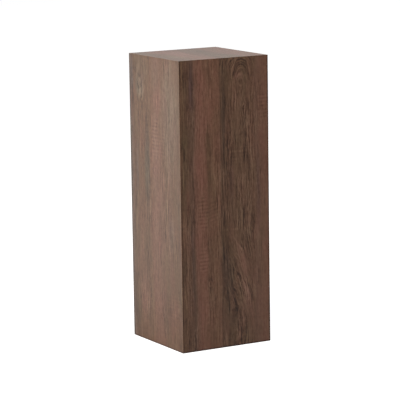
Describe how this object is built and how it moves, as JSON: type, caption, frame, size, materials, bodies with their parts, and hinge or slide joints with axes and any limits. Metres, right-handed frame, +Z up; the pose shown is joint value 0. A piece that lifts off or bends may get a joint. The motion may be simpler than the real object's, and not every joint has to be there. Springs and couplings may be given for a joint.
{
  "type": "display plinth",
  "caption": "Tall square display plinth: closed column of dark woodgrain board with mitred edges, a flat top for an exhibit, and hidden screw levellers under the base.",
  "frame": {"origin": "centre of the footprint, at floor level under the walls' edging", "axes": "+Z up from the floor to the display surface; -Y out of the front wall; +X to the right as seen from the front"},
  "size_m": [0.35, 0.35, 1],
  "materials": {
    "decor_board": "dark brown oak woodgrain decor on board, semi-matte, upright grain with fine pores and saw marks",
    "decor_edging": "thin edging strip in the same woodgrain decor, semi-matte",
    "chipboard": "bare chipboard, pressed wood chips, dull",
    "pine": "planed softwood, straight grain, unfinished",
    "beech": "compressed beech, grain across the piece, unfinished",
    "zinc_steel": "bright zinc-plated steel, lightly handled",
    "black_nylon": "moulded black nylon, fine matte texture"
  },
  "bodies": {
    "carcass": {"front_panel": "decor_board", "right_panel": "decor_board", "back_panel": "decor_board", "left_panel": "decor_board", "top_panel": "decor_board", "edge_strip_front": "decor_edging", "edge_strip_right": "decor_edging", "edge_strip_back": "decor_edging", "edge_strip_left": "decor_edging", "base_panel": "chipboard", "corner_batten_front_left": "pine", "corner_batten_front_right": "pine", "corner_batten_back_left": "pine", "corner_batten_back_right": "pine", "top_cleat_front": "pine", "top_cleat_right": "pine", "top_cleat_back": "pine", "top_cleat_left": "pine", "base_cleat_front": "pine", "base_cleat_right": "pine", "base_cleat_back": "pine", "base_cleat_left": "pine", "biscuit_top_front": "beech", "biscuit_top_right": "beech", "biscuit_top_back": "beech", "biscuit_top_left": "beech", "biscuit_front_left_low": "beech", "biscuit_front_left_mid": "beech", "biscuit_front_left_high": "beech", "biscuit_front_right_low": "beech", "biscuit_front_right_mid": "beech", "biscuit_front_right_high": "beech", "biscuit_back_left_low": "beech", "biscuit_back_left_mid": "beech", "biscuit_back_left_high": "beech", "biscuit_back_right_low": "beech", "biscuit_back_right_mid": "beech", "biscuit_back_right_high": "beech", "batten_screw_front_left": "zinc_steel", "batten_screw_front_right": "zinc_steel", "batten_screw_back_left": "zinc_steel", "batten_screw_back_right": "zinc_steel", "cleat_screw_front": "zinc_steel", "cleat_screw_right": "zinc_steel", "cleat_screw_back": "zinc_steel", "cleat_screw_left": "zinc_steel", "tee_nut_front_left": "zinc_steel", "tee_nut_front_right": "zinc_steel", "tee_nut_back_left": "zinc_steel", "tee_nut_back_right": "zinc_steel"},
    "pad_front_left": {"foot_pad_front_left": "black_nylon"},
    "stem_front_left": {"foot_stem_front_left": "zinc_steel"},
    "pad_front_right": {"foot_pad_front_right": "black_nylon"},
    "stem_front_right": {"foot_stem_front_right": "zinc_steel"},
    "pad_back_left": {"foot_pad_back_left": "black_nylon"},
    "stem_back_left": {"foot_stem_back_left": "zinc_steel"},
    "pad_back_right": {"foot_pad_back_right": "black_nylon"},
    "stem_back_right": {"foot_stem_back_right": "zinc_steel"}
  },
  "joints": [
    {"name": "foot_drop_front_left", "type": "slide", "parent": "carcass", "child": "pad_front_left", "axis": [0, 0, -1], "range_m": [0, 0.01]},
    {"name": "foot_screw_front_left", "type": "hinge", "parent": "pad_front_left", "child": "stem_front_left", "pos_m": [-0.115, -0.115, 0], "axis": [0, 0, -1], "range_deg": [0, 2880]},
    {"name": "foot_drop_front_right", "type": "slide", "parent": "carcass", "child": "pad_front_right", "axis": [0, 0, -1], "range_m": [0, 0.01]},
    {"name": "foot_screw_front_right", "type": "hinge", "parent": "pad_front_right", "child": "stem_front_right", "pos_m": [0.115, -0.115, 0], "axis": [0, 0, -1], "range_deg": [0, 2880]},
    {"name": "foot_drop_back_left", "type": "slide", "parent": "carcass", "child": "pad_back_left", "axis": [0, 0, -1], "range_m": [0, 0.01]},
    {"name": "foot_screw_back_left", "type": "hinge", "parent": "pad_back_left", "child": "stem_back_left", "pos_m": [-0.115, 0.115, 0], "axis": [0, 0, -1], "range_deg": [0, 2880]},
    {"name": "foot_drop_back_right", "type": "slide", "parent": "carcass", "child": "pad_back_right", "axis": [0, 0, -1], "range_m": [0, 0.01]},
    {"name": "foot_screw_back_right", "type": "hinge", "parent": "pad_back_right", "child": "stem_back_right", "pos_m": [0.115, 0.115, 0], "axis": [0, 0, -1], "range_deg": [0, 2880]}
  ],
  "couplings": [
    {"joint": "foot_screw_front_left", "follows": "foot_drop_front_left", "rad_per_m": 5026.5},
    {"joint": "foot_screw_front_right", "follows": "foot_drop_front_right", "rad_per_m": 5026.5},
    {"joint": "foot_screw_back_left", "follows": "foot_drop_back_left", "rad_per_m": 5026.5},
    {"joint": "foot_screw_back_right", "follows": "foot_drop_back_right", "rad_per_m": 5026.5}
  ]
}
